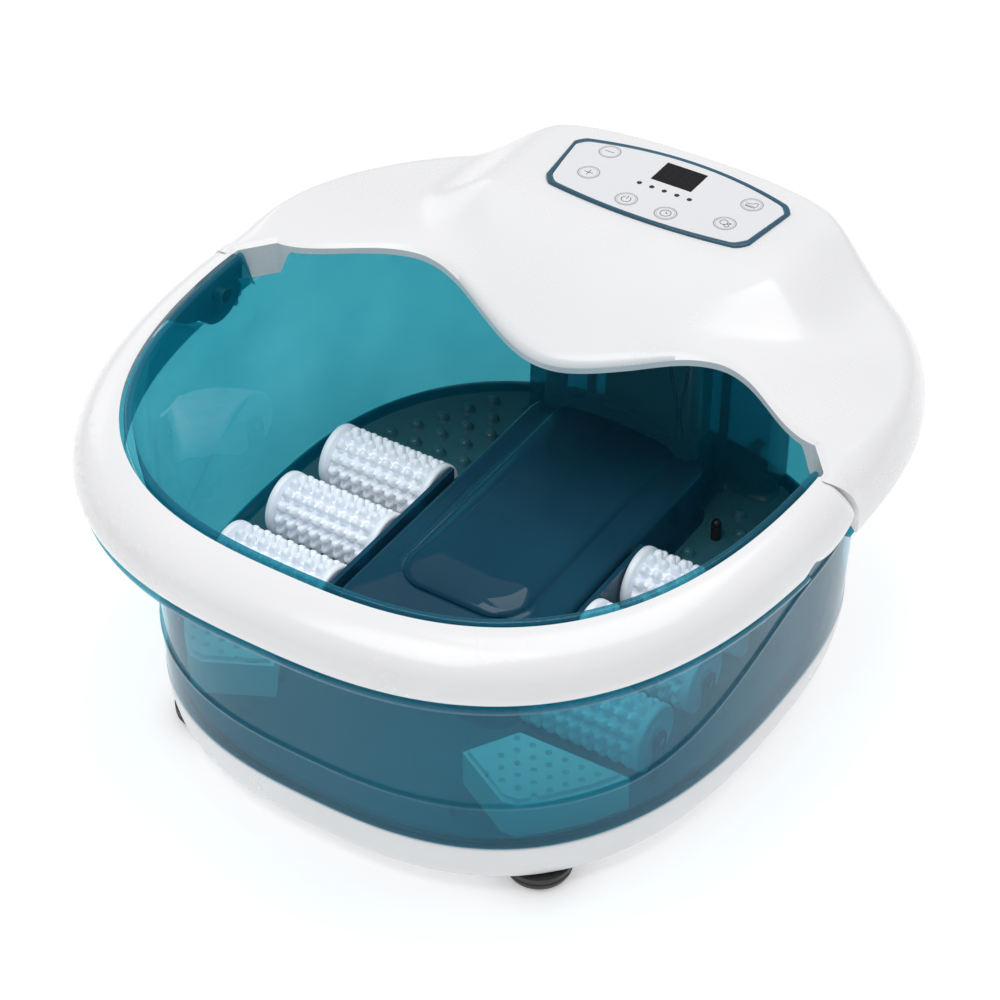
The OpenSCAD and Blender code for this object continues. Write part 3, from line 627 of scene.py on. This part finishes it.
def hood_row(u):
    """One strip of the hood: out over the face to the edge and back underneath."""
    a = np.radians(lerp(-8.0, 188.0, u))
    ex, ey = egg(a, RIM_W + 0.6, RIM_FRONT, RIM_BACK)
    rim, edge = np.array([ex, ey]), hood_edge(u)
    span = np.linalg.norm(edge[:2] - rim)
    way = (edge[:2] - rim) / span
    turn = min(lerp(11, 20, smooth((abs(rim[0]) - 60) / 60)), span * 0.9)
    q = np.concatenate([turn * (1 - np.cos(np.linspace(0, np.pi / 2, 22))), np.linspace(turn, span, 44)[1:]])

    def line(s, lift):
        p = rim + np.outer(s, way)
        return np.column_stack([p, s * 0]), hood_height(p[:, 0], p[:, 1]) - lift

    top, z = line(q, 0)
    top[:, 2] = HOOD_FOOT + (z - HOOD_FOOT) * shoulder(q / turn)
    drop = smooth((q - (span - 5.0)) / 5.0) ** 2
    top[:, 2] = np.where(drop > 0, lerp(top[:, 2], top[:, 2] - 1.6, drop), top[:, 2])
    s = lerp(HOOD_SKIN, span - HOOD_SKIN, q[::-1][::3] / span)
    under, z = line(s, HOOD_SKIN)
    under[:, 2] = HOOD_FOOT + (z - HOOD_FOOT) * shoulder((s - HOOD_SKIN) / (turn - HOOD_SKIN * 0.5))
    low_z = lerp(max(edge[2], top[-1, 2] - 3.4), edge[2], smooth((abs(edge[0]) - 128) / 20))
    wall = np.linspace(0.15, 1, 5)
    outer = np.column_stack([np.tile(edge[:2], (5, 1)), lerp(top[-1, 2], low_z, wall)])
    inner = outer[::-1].copy()
    inner[:, :2] -= way * HOOD_SKIN * 0.8
    inner[:, 2] = lerp(low_z, min(under[0, 2], top[-1, 2] - 1.5), 1 - wall[::-1])
    return np.vstack([top, outer, inner, under])


def hood():
    """The hood's skin, drawn back where the handle's round ends turn."""
    strips = np.stack([hood_row(i / HOOD_ROWS) for i in range(HOOD_ROWS + 1)])
    clear = PIVOT_R + 0.9
    dy, dz = strips[..., 1] - PIVOT_Y, strips[..., 2] - PIVOT_Z
    far = np.hypot(dy, dz)
    near = (far < clear) & (np.abs(strips[..., 0]) > LIP_W)
    push = np.sqrt(np.maximum(clear**2 - dz**2, 0)) + PIVOT_Y
    strips[..., 1] = np.where(near, np.maximum(strips[..., 1], push), strips[..., 1])
    verts, faces = capped(strips, flip=True)
    piece("hood_shell", verts, faces, "basin", [white], ["hood"], sharp=0.9)


# ---- handle ------------------------------------------------------------------


def handle_row(t):
    """One section of the handle; t runs from the left end (0) round the front to the right end (1)."""
    round_share = 0.045
    end_a = np.arctan2(PIVOT_Y - WIDEST_Y, RIM_W - 8)
    mid = np.clip((t - round_share) / (1 - 2 * round_share), 0, 1)
    a = lerp(-np.pi - end_a, end_a, mid)
    past = max(round_share - t, t - 1 + round_share, 0) / round_share
    past_y = PIVOT_R * np.sin(past * np.pi / 2)
    centre_y = float(egg(np.array(a), RIM_W, RIM_FRONT, RIM_BACK)[1]) + past_y
    dy = min(abs(centre_y - PIVOT_Y), PIVOT_R)
    half = np.sqrt(max(PIVOT_R**2 - dy**2, 0))
    top = min(RIM_Z + BAND_H, PIVOT_Z + half) if past > 0 else RIM_Z + BAND_H
    low_z = RIM_Z + BAND_H * np.sin(np.radians(BAND_LOW_ANGLE))
    low_z = PIVOT_Z - half if past > 0 else min(low_z, PIVOT_Z - half)
    near = 1.0 if past > 0 else float(smooth((centre_y + 34) / 14))
    angles = np.radians(np.linspace(BAND_TOP_ANGLE, lerp(BAND_LOW_ANGLE, BAND_END_ANGLE, near), 44))

    def arc(g):
        c = (BAND_W - g) * np.cos(angles)
        front = RIM_FRONT - 1.3 * BAND_W + 1.3 * c
        x, y = egg(np.full(len(angles), a), RIM_W - BAND_W + c, front, RIM_BACK)
        z = RIM_Z + (BAND_H - g) * np.sin(angles)
        return np.column_stack([x, y + past_y, z])

    out = arc(0)
    zs = out[:, 2]
    out[:, 2] = np.where(
        zs > PIVOT_Z,
        PIVOT_Z + (zs - PIVOT_Z) * (top - PIVOT_Z) / (RIM_Z + BAND_H - PIVOT_Z),
        PIVOT_Z - (PIVOT_Z - zs) * (PIVOT_Z - low_z) / (PIVOT_Z - zs.min()),
    )
    tuck = 1.5 * past**4
    out[:, 0] -= np.sign(out[:, 0]) * tuck
    inn = arc(BAND_SKIN)
    flat = out.copy()
    flat[:, 0] = np.sign(out[:, 0]) * (RIM_W - BAND_W + 0.4)
    flat[:, 2] = lerp(out[:, 2], PIVOT_Z, 0.02)
    inn = lerp(inn, flat, smooth((centre_y + 34) / 12) if past == 0 else 1.0)
    return np.vstack([out, inn[::-1]])


def handle():
    rows = [handle_row(i / HANDLE_ROWS) for i in range(HANDLE_ROWS + 1)]
    verts, faces = capped(np.stack(rows))
    piece("handle_band", verts, faces, "handle", [grip], ["handle"], sharp=0.9)


# ---- base --------------------------------------------------------------------


def base():
    """The white tray: underside, outer wall up to the seam, and back down inside."""
    top = SEAM_Z - 0.1
    profile = [(-30, 9), (-8, 9), (-6, 9.3), (-4.6, 10), (-3.4, 11.4), (-2.4, 13.4), (-1.4, 16.5)]
    profile += [(-0.7, 20), (-0.1, 24), (0.3, 28), (0.4, top - 1), (0.3, top - 0.4), (-0.1, top)]
    profile += [(-1.0, top), (-1.4, top - 0.3), (-1.6, top - 4), (-3, 21), (-5, 14), (-8, 12), (-30, 12)]
    verts, faces = capped(np.stack([wall_ring(g, z) for g, z in profile]))
    piece("base_shell", verts, faces, "basin", [white_base], ["base_tray"], sharp=0.8)


def feet():
    lo, hi = low("rubber_feet") + FOOT_R, high("rubber_feet") - FOOT_R
    z = low("base_tray")[2] - 0.1
    profile = [(0, 0), (9.5, 0), (10, 0.5), (10.6, 0.5), (11, 0), (12.8, 0.2), (14.6, 1.6), (15.6, 3.4)]
    profile += [(15.9, 5), (15.5, 5.6), (15.9, 6.2), (FOOT_R, z), (5, z), (0, z)]
    parts = [lathe(profile, np.array([x, y, 0.0])) for x in (lo[0], hi[0]) for y in (lo[1], hi[1])]
    verts, faces = joined(parts)
    piece("feet_rubber", verts, faces, "basin", [rubber], ["rubber_feet"], sharp=0.6)


# ---- rollers -----------------------------------------------------------------


def peg(length, width, height, base):
    """A rounded bar that stands out along +Z from radius base."""
    n = 16
    a = np.linspace(0, 2 * np.pi, n, endpoint=False) + np.pi / n
    x = np.sign(np.cos(a)) * np.abs(np.cos(a)) ** 0.6 * length / 2
    y = np.sign(np.sin(a)) * np.abs(np.sin(a)) ** 0.6 * width / 2
    rings = []
    for inset, h in ((0, 0), (0, 0.55), (0.12, 0.75), (0.3, 0.88), (0.55, 0.96), (0.85, 1.0)):
        k = 1 - 0.9 * inset
        rings.append(np.column_stack([x * k, y * k, np.full(n, base + height * h)]))
    return capped(np.stack(rings))


def roller(node):
    """A roller: turned end faces and core, with rows of teeth joined by thin bars."""
    lo, hi = low(node), high(node)
    mid = (lo + hi) / 2
    r, x0, x1 = (hi[2] - lo[2]) / 2, lo[0], hi[0]
    core, flange = 11.8, 4.4
    end = [(2.1, 0.8), (5.2, 0.8), (5.8, 0.2), (7.6, 0.2), (8.2, 0.9), (14.0, 0.9), (14.8, 0.1), (r - 1.6, 0)]
    end += [(r - 0.8, 0.5), (r - 0.5, 1.3), (r - 0.5, flange - 0.9), (r - 1.2, flange - 0.2), (core, flange)]
    profile = [(rr, x0 + h) for rr, h in end] + [(rr, x1 - h) for rr, h in end[::-1]]
    parts = [lathe(profile, np.array([0, mid[1], mid[2]]), "x", 72)]
    rings, around = 8, 13
    pitch = (x1 - x0 - 2 * flange) / rings
    tooth = peg(pitch * 0.66, 5.0, r - core + 0.9, core - 1.0)
    bar = peg(x1 - x0 - 2 * flange + 1.5, 1.9, 2.9, core - 1.0)
    for k in range(around):
        c, s = np.cos(2 * np.pi * k / around), np.sin(2 * np.pi * k / around)
        places = [(tooth, x0 + flange + pitch * (i + 0.5)) for i in range(rings)] + [(bar, mid[0])]
        for (points, point_faces), along in places:
            x, y, z = points.T
            turned = [x + along, mid[1] + y * c + z * s, mid[2] + z * c - y * s]
            parts.append((np.column_stack(turned), point_faces))
    verts, faces = joined(parts)
    piece(node + "_pegs", verts, faces, node, [roller_white], [node], sharp=0.9)


# ---- control panel -----------------------------------------------------------


def bowed(a, b, bow, n):
    """Points from a to b, bowed by up to bow along Y."""
    t = np.linspace(0, 1, n, endpoint=False)
    return np.column_stack([lerp(a[0], b[0], t), lerp(a[1], b[1], t) + bow * 4 * t * (1 - t)])


def panel_outline(g):
    """The panel's border line, grown outwards by g."""
    fw, bw, fy, by, cut = PANEL_FRONT_W + g, PANEL_BACK_W + g, PANEL_FRONT - g, PANEL_BACK + g, PANEL_CUT
    pts = [
        bowed((-fw + cut, fy), (fw - cut, fy), -4, 40),
        bowed((fw - cut, fy), (fw + 0.4, fy + cut), -1.2, 10),
        bowed((fw + 0.4, fy + cut), (bw, by - cut), 0, 14),
        bowed((bw, by - cut), (bw - cut, by), 1.2, 10),
        bowed((bw - cut, by), (-bw + cut, by), 9, 40),
        bowed((-bw + cut, by), (-bw, by - cut), 1.2, 10),
        bowed((-bw, by - cut), (-fw - 0.4, fy + cut), 0, 14),
        bowed((-fw - 0.4, fy + cut), (-fw + cut, fy), -1.2, 10),
    ]
    return np.vstack(pts)


def bezel():
    """The border: one section, round-edged on top, all the way round the panel."""
    z0, z1 = low("panel_bezel")[2], high("panel_bezel")[2]
    section = [(0, z0), (0, z1 - 0.5), (-0.15, z1 - 0.12), (-0.5, z1)]
    section += [(-1.8, z1), (-2.15, z1 - 0.12), (-2.3, z1 - 0.45), (-2.3, z0)]
    outlines = [panel_outline(g) for g, _ in section]
    verts = np.vstack([np.column_stack([o, np.full(len(o), z)]) for o, (_, z) in zip(outlines, section)])
    rows, n = len(section), len(outlines[0])
    last = (rows - 1) * n
    faces = grid(rows, n)
    faces += [[last + j, last + (j + 1) % n, (j + 1) % n, j] for j in range(n)]
    piece("panel_border", verts, faces, "basin", [border], ["panel_bezel"], sharp=0.9)


def ribbon(path, width, z, closed=False, high_by=0.07):
    """A flat printed line along path, standing a hair above height z."""
    path = np.asarray(path, float)
    if closed:
        d = np.roll(path, -1, 0) - np.roll(path, 1, 0)
    else:
        d = np.gradient(path, axis=0)
    d /= np.maximum(np.linalg.norm(d, axis=1, keepdims=True), 1e-9)
    side = np.column_stack([-d[:, 1], d[:, 0]]) * width / 2
    n = len(path)
    rows = [path + side, path + side, path - side, path - side]
    zs = [z - 0.05, z + high_by, z + high_by, z - 0.05]
    verts = np.vstack([np.column_stack([p, np.full(n, h)]) for p, h in zip(rows, zs)])
    faces = []
    for i in range(n if closed else n - 1):
        j = (i + 1) % n
        for k in range(4):
            m = (k + 1) % 4
            faces.append([k * n + i, m * n + i, m * n + j, k * n + j])
    if not closed:
        faces += [[0, n, 2 * n, 3 * n], [4 * n - 1, 3 * n - 1, 2 * n - 1, n - 1]]
    return verts, faces


def arc_path(cx, cy, r, a0=0.0, a1=360.0, n=48):
    a = np.radians(np.linspace(a0, a1, n, endpoint=a1 - a0 < 360))
    return np.column_stack([cx + r * np.cos(a), cy + r * np.sin(a)])


def buttons():
    """Each button's cap, the two thin rings on it, and its generic symbol."""
    bubbles = ((-0.8, 0.6, 2.0), (1.6, -1.4, 1.2), (2.5, 0.8, 0.5))
    ripples = [(-2.6, -2.6), (-1.8, -2.1), (-0.9, -2.6), (0, -2.1), (0.9, -2.6), (1.8, -2.1), (2.6, -2.6)]
    foot = [(-3.2, -0.2), (-1.2, 0.2), (0.4, 1.0), (1.6, 2.2), (2.6, 2.2), (2.9, -1.4), (-3.0, -1.6)]
    signs = {
        "button_minus": [([(-2.6, 0), (2.6, 0)], False)],
        "button_plus": [([(-2.4, 0), (2.4, 0)], False), ([(0, -2.4), (0, 2.4)], False)],
        "button_power": [(arc_path(0, -0.2, 2.4, 120, 420), False), ([(0, 0.2), (0, 2.9)], False)],
        "button_timer": [(arc_path(0, 0, 2.7), True), ([(0, 1.5), (0, -0.1), (1.2, -0.1)], False)],
        "button_heat": [(foot, False), (ripples, False)],
        "button_bubble": [(arc_path(x, y, r), True) for x, y, r in bubbles],
    }
    for node, lines in signs.items():
        lo, z = low(node)[2], high(node)[2]
        c, h = centre(node)[:2], z - lo
        r = (high(node)[0] - low(node)[0]) / 2
        profile = [(0, 0), (r - 0.1, 0), (r, 0.2), (r, h - 0.35), (r - 0.12, h - 0.08), (r - 0.4, h), (0, h)]
        verts, faces = lathe(profile, np.append(c, lo))
        piece(node + "_cap", verts, faces, node, [film], [node], sharp=0.6)
        circles = ((r - 0.35, 0.28), (r - 1.15, 0.16))
        verts, faces = joined([ribbon(arc_path(*c, rr, n=72), w, z, True) for rr, w in circles])
        piece(node + "_rings", verts, faces, node, [faint_ink], sharp=0.6)
        verts, faces = joined([ribbon(np.asarray(p) + c, 0.34, z, closed) for p, closed in lines])
        piece(node + "_sign", verts, faces, node, [ink], sharp=0.6)


def display():
    """Faint unlit figure-eight digits under the dark window."""
    c, z = centre("display_window"), high("display_window")[2]
    w, h, gap = 2.4, 4.4, 0.6
    bars = [((-w, y), (w, y)) for y in (h, 0, -h)]
    bars += [((s * w, y * (h - gap)), (s * w, y * gap)) for y in (1, -1) for s in (-1, 1)]
    parts = []
    for x in (-4.6, 4.6):
        for bar in bars:
            ends = np.array(bar) * 0.9 + c[:2] + [x, 0]
            parts.append(ribbon(ends, 0.7, z, False, 0.03))
    verts, faces = joined(parts)
    piece("display_digits", verts, faces, "basin", [ghost], sharp=0.6)


# ---- works -------------------------------------------------------------------


def sensor():
    """The dark stub in the right-hand well, with a groove and a domed top."""
    lo, hi = low("temperature_sensor"), high("temperature_sensor")
    c = (lo + hi) / 2
    h = hi[2] - lo[2]
    r = (hi[0] - lo[0]) / 2
    profile = [(0, 0), (r, 0), (r, h - 5), (r - 0.3, h - 4.6), (r - 0.3, h - 4.2), (r, h - 3.8)]
    profile += [(r * np.cos(t), h - r + r * np.sin(t)) for t in np.linspace(0, np.pi / 2, 7)]
    verts, faces = lathe(profile, np.array([c[0], c[1], lo[2]]))
    piece("sensor_stub", verts, faces, "basin", [black], ["temperature_sensor"], sharp=0.7)


def tube(path, r):
    """A round tube along a path of points."""
    n = 14
    path = np.asarray(path, float)
    d = np.gradient(path, axis=0)
    d /= np.linalg.norm(d, axis=1, keepdims=True)
    side = np.cross(d, np.array([0.31, 0.17, 0.93]))
    side /= np.linalg.norm(side, axis=1, keepdims=True)
    other = np.cross(d, side)
    a = np.linspace(0, 2 * np.pi, n, endpoint=False)
    c, s = np.cos(a)[None, :, None], np.sin(a)[None, :, None]
    return capped(path[:, None] + r * (c * side[:, None] + s * other[:, None]))


def curve_through(points, steps=12):
    """A smooth line through points."""
    p = np.asarray(points, float)
    p = np.vstack([2 * p[0] - p[1], p, 2 * p[-1] - p[-2]])
    out = []
    for i in range(1, len(p) - 2):
        for t in np.linspace(0, 1, steps, endpoint=False):
            a, b, c, d = p[i - 1 : i + 3]
            square, cube = 2 * a - 5 * b + 4 * c - d, 3 * b - a - 3 * c + d
            out.append(0.5 * (2 * b + (c - a) * t + square * t**2 + cube * t**3))
    return np.array(out + [p[-2]])


def wires():
    """Two loose wires that hang in the front of the column."""
    lo, hi = low("wiring_harness"), high("wiring_harness")
    parts = []
    back, foot = hi[1], lo[2] + 1.3
    for x, sway in ((lo[0] + 1.1, 2.5), (hi[0] - 1.1, -2.0)):
        points = [(x, back - 4, hi[2]), (x + sway, back - 6, 150), (x - sway, back - 8, 118)]
        points += [(x + sway * 0.6, back - 7, 90), (x, back - 4, 60), (x, back - 5, 24)]
        points += [(x, back - 14, foot), (x, lo[1] + 4, foot)]
        parts.append(tube(curve_through(points), 1.0))
    verts, faces = joined(parts)
    piece("wires_loose", verts, faces, "basin", [black], ["wiring_harness"], sharp=1.2)


# ---- parts kept as they are ---------------------------------------------------


def carry_over(node, material):
    """A visible CAD node: its own material, and a small round on its sharp edges."""
    ob = frame["nodes"][node]
    ob.data.materials.clear()
    ob.data.materials.append(material)
    bevel = ob.modifiers.new("edge_round", "BEVEL")
    bevel.width, bevel.segments = 0.0004, 3
    bevel.limit_method, bevel.angle_limit = "ANGLE", 0.6
    bevel.harden_normals = False


# ---- stage -------------------------------------------------------------------


def stage():
    """A plain pale floor."""
    n = Nodes("studio_floor")
    cloud = n.noise(1.5, 2.0)
    col = n.blend(cloud, colour(0.90, 0.90, 0.90), colour(0.87, 0.87, 0.875))
    gloss, grain = n.spread(cloud, 0.6, 0.75), n.bump(n.noise(80.0), 0.05)
    shader = n.add("ShaderNodeBsdfPrincipled", Base_Color=col, Roughness=gloss, Normal=grain)
    shader.inputs["Emission Color"].default_value = (1.0, 1.0, 1.0, 1.0)
    shader.inputs["Emission Strength"].default_value = 0.32
    mesh = bpy.data.meshes.new("studio_floor")
    half = 6.0
    corners = [(-half, -half, 0), (half, -half, 0), (half, half, 0), (-half, half, 0)]
    mesh.from_pydata(corners, [], [(0, 1, 2, 3)])
    mesh.materials.append(n.finish(shader.outputs[0]))
    ob = bpy.data.objects.new("studio_floor", mesh)
    bpy.context.scene.collection.objects.link(ob)


def lamp(name, at, aim, size, power):
    """A soft rectangular lamp that faces aim; places in metres."""
    data = bpy.data.lights.new(name, "AREA")
    data.shape = "RECTANGLE"
    data.size, data.size_y = size
    data.energy = power
    ob = bpy.data.objects.new(name, data)
    ob.location = at
    ob.rotation_euler = (Vector(aim) - Vector(at)).to_track_quat("-Z", "Y").to_euler()
    bpy.context.scene.collection.objects.link(ob)


def lights():
    """An even pale sky, a main lamp in front, one above and a weak one behind."""
    world = bpy.data.worlds.new("studio")
    world.use_nodes = True
    sky = world.node_tree.nodes["Background"]
    sky.inputs[0].default_value = (0.98, 0.985, 1.0, 1.0)
    sky.inputs[1].default_value = 0.5
    bpy.context.scene.world = world
    aim = (0, 0, 0.1)
    lamp("key", (-0.15, -0.7, 2.2), aim, (1.4, 1.3), 19.5)
    lamp("top", (0.4, 0.5, 2.2), aim, (1.8, 1.4), 19)
    lamp("back", (-1.7, 0.9, 0.9), aim, (1.2, 0.8), 3)


def camera():
    """The main view: from the front, to the right and above; metres and radians."""
    data = bpy.data.cameras.new("camera")
    data.lens, data.sensor_width = 96.72, 36.0
    ob = bpy.data.objects.new("camera", data)
    azimuth, elevation, distance = np.radians(32.68), np.radians(39.51), 1.285
    target = Vector((0.0002, -0.0032, 0.0971))
    level = np.cos(elevation)
    way = Vector((np.sin(azimuth) * level, -np.cos(azimuth) * level, np.sin(elevation)))
    ob.location = target + way * distance
    ob.rotation_euler = way.to_track_quat("Z", "Y").to_euler()
    bpy.context.scene.collection.objects.link(ob)
    bpy.context.scene.camera = ob


# ---- build -------------------------------------------------------------------

slots = {s["node"]: s["material_slot"] for s in frame["record"]["subparts"]}
finishes = {
    "white_plastic": white,
    "teal_frame": teal_hump_painted_shade,
    "panel_film": film,
    "blue_border": border,
    "dark_glass": screen,
    "black_plastic": black,
    "black_rubber": rubber,
    "roller_plastic": roller_white,
    "box_plastic": box_white,
    "grey_plastic": grey,
    "steel": steel,
    "circuit_board": board,
    "teal_plastic": teal_wall,
}

tub()
divider()
column()
floor_domes()
hood()
handle()
base()
feet()
bezel()
buttons()
display()
sensor()
wires()
for name in sorted(frame["nodes"]):
    if name.startswith(("roller_left_", "roller_right_")):
        roller(name)
for name, ob in sorted(frame["nodes"].items()):
    if not ob.hide_render:
        carry_over(name, finishes[slots[name]])
stage()
lights()
camera()
bpy.context.scene.view_settings.view_transform = "Standard"
bpy.context.scene.cycles.transparent_max_bounces = 24
